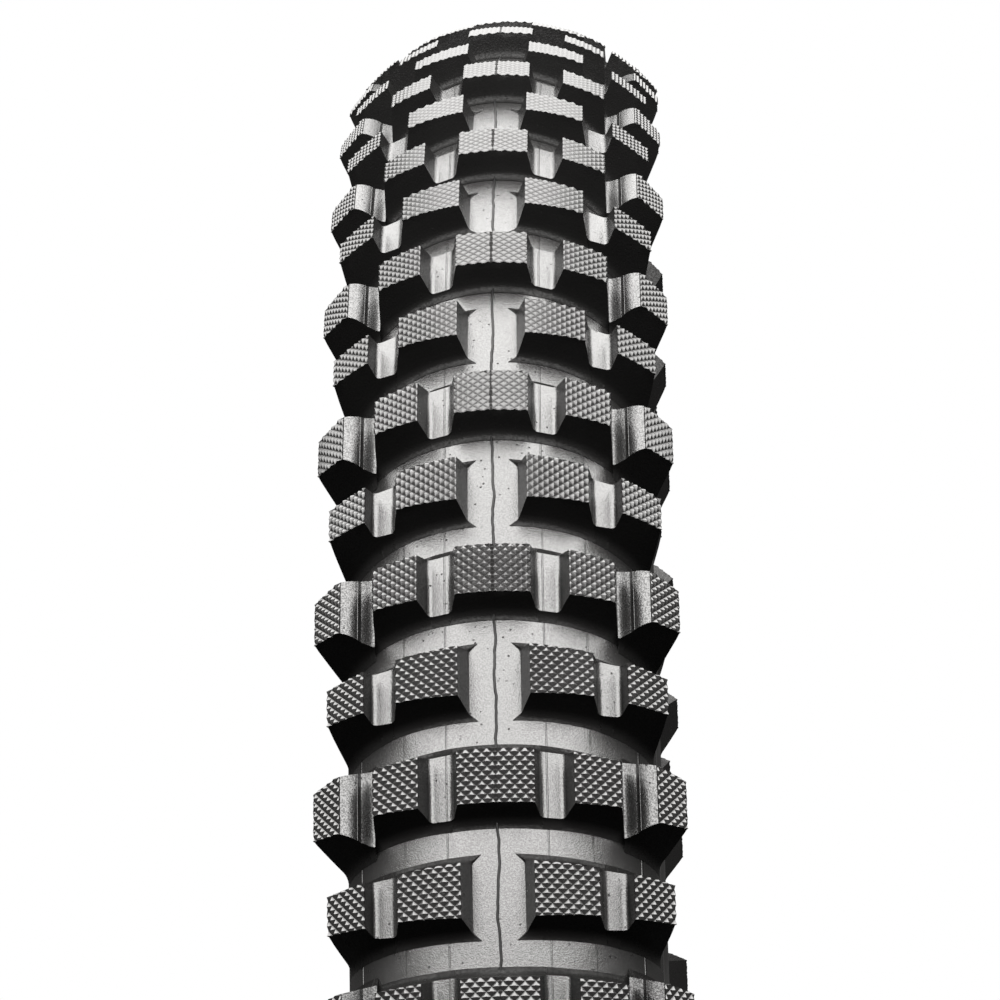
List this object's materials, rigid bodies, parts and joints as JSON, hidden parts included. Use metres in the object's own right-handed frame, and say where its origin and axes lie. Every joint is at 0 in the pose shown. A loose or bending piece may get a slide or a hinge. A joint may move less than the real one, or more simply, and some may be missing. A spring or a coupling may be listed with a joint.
{
  "type": "motorcycle tyre",
  "caption": "Narrow motorcycle trials tyre with knurled rectangular tread lugs in alternating rows, tie bars, round casing, plain sidewalls and wired beads.",
  "frame": {"origin": "centre of the wheel, on the axle line, midway between the beads", "axes": "+Y along the axle; +X and +Z across the wheel, with a five-lug row centred on +Z"},
  "size_m": [0.694, 0.0824, 0.6938],
  "materials": {
    "tread_rubber": "semi-gloss",
    "sidewall_rubber": "satin",
    "chafer_rubber": "matt",
    "filler_rubber": "matt",
    "liner_rubber": "satin",
    "cord_fabric": "matt",
    "bead_steel": "bronzed"
  },
  "bodies": {
    "root": {"tread_band": "tread_rubber", "undertread": "tread_rubber", "centre_lugs": "tread_rubber", "middle_lugs_left": "tread_rubber", "middle_lugs_right": "tread_rubber", "shoulder_lugs_left": "tread_rubber", "shoulder_lugs_right": "tread_rubber", "pair_lugs_left": "tread_rubber", "pair_lugs_right": "tread_rubber", "flank_lugs_left": "tread_rubber", "flank_lugs_right": "tread_rubber", "centre_tie_bars_left": "tread_rubber", "centre_tie_bars_right": "tread_rubber", "flank_tie_bars_left": "tread_rubber", "flank_tie_bars_right": "tread_rubber", "sidewall_left": "sidewall_rubber", "chafer_left": "chafer_rubber", "bead_filler_left": "filler_rubber", "bead_wrap_left": "cord_fabric", "bead_wires_left": "bead_steel", "sidewall_right": "sidewall_rubber", "chafer_right": "chafer_rubber", "bead_filler_right": "filler_rubber", "bead_wrap_right": "cord_fabric", "bead_wires_right": "bead_steel", "outer_ply": "cord_fabric", "inner_ply": "cord_fabric", "inner_liner": "liner_rubber"}
  },
  "joints": []
}
